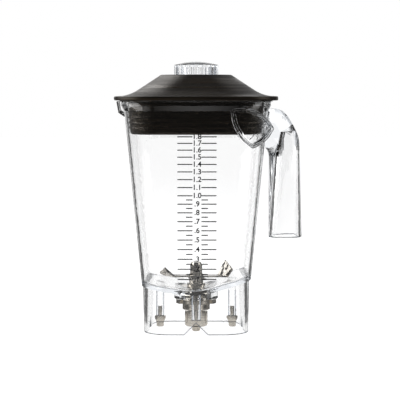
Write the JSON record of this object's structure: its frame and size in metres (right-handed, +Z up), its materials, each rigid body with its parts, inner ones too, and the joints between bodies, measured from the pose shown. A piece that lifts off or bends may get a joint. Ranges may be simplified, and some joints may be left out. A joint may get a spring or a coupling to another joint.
{
  "type": "blender jar",
  "caption": "Tall clear blender jar with leaning square walls, a hollow open-ended handle, a black plug lid with a clear filler cap, and a bladed cutter driven from below.",
  "frame": {"origin": "on the table under the middle of the jar, level with the skirt's lower edge", "axes": "+Z up along the cutter's axis, +X towards the handle, -Y towards the front wall with the scale"},
  "size_m": [0.1837, 0.1584, 0.265],
  "materials": {
    "clear_plastic": "clear moulded copolyester, polished",
    "lid_rubber": "black moulded rubber, satin, with fine horizontal lines",
    "seal_rubber": "black rubber, matt",
    "steel": "turned stainless steel, satin",
    "blade_steel": "ground stainless steel, bright",
    "bearing_steel": "ground bearing steel"
  },
  "bodies": {
    "jar_body": {"jar": "clear_plastic", "bearing_housing": "steel", "shaft_seal": "seal_rubber", "upper_bearing": "bearing_steel", "lower_bearing": "bearing_steel", "retaining_ring": "steel", "floor_gasket": "seal_rubber", "nut_washer": "steel", "retaining_nut": "steel", "stud_front": "steel", "stud_back": "steel", "stud_left": "steel", "stud_right": "steel", "ring_front": "seal_rubber", "ring_back": "seal_rubber", "ring_left": "seal_rubber", "ring_right": "seal_rubber"},
    "cutter": {"cutter_shaft": "steel", "drive_coupling": "steel", "bearing_spacer": "steel", "blade_spacer": "steel", "lower_blade": "blade_steel", "upper_blade": "blade_steel", "blade_washer": "steel", "blade_nut": "steel"},
    "lid": {"lid": "lid_rubber"},
    "filler_cap": {"filler_cap": "clear_plastic"}
  },
  "joints": [
    {"name": "cutter_spin", "type": "hinge", "parent": "jar_body", "child": "cutter", "pos_m": [0, 0, 0.05], "axis": [0, 0, 1], "continuous": true},
    {"name": "lid_lift", "type": "slide", "parent": "jar_body", "child": "lid", "axis": [0, 0, 1], "range_m": [0, 0.09]},
    {"name": "filler_cap_lift", "type": "slide", "parent": "lid", "child": "filler_cap", "axis": [0, 0, 1], "range_m": [0, 0.04]}
  ]
}
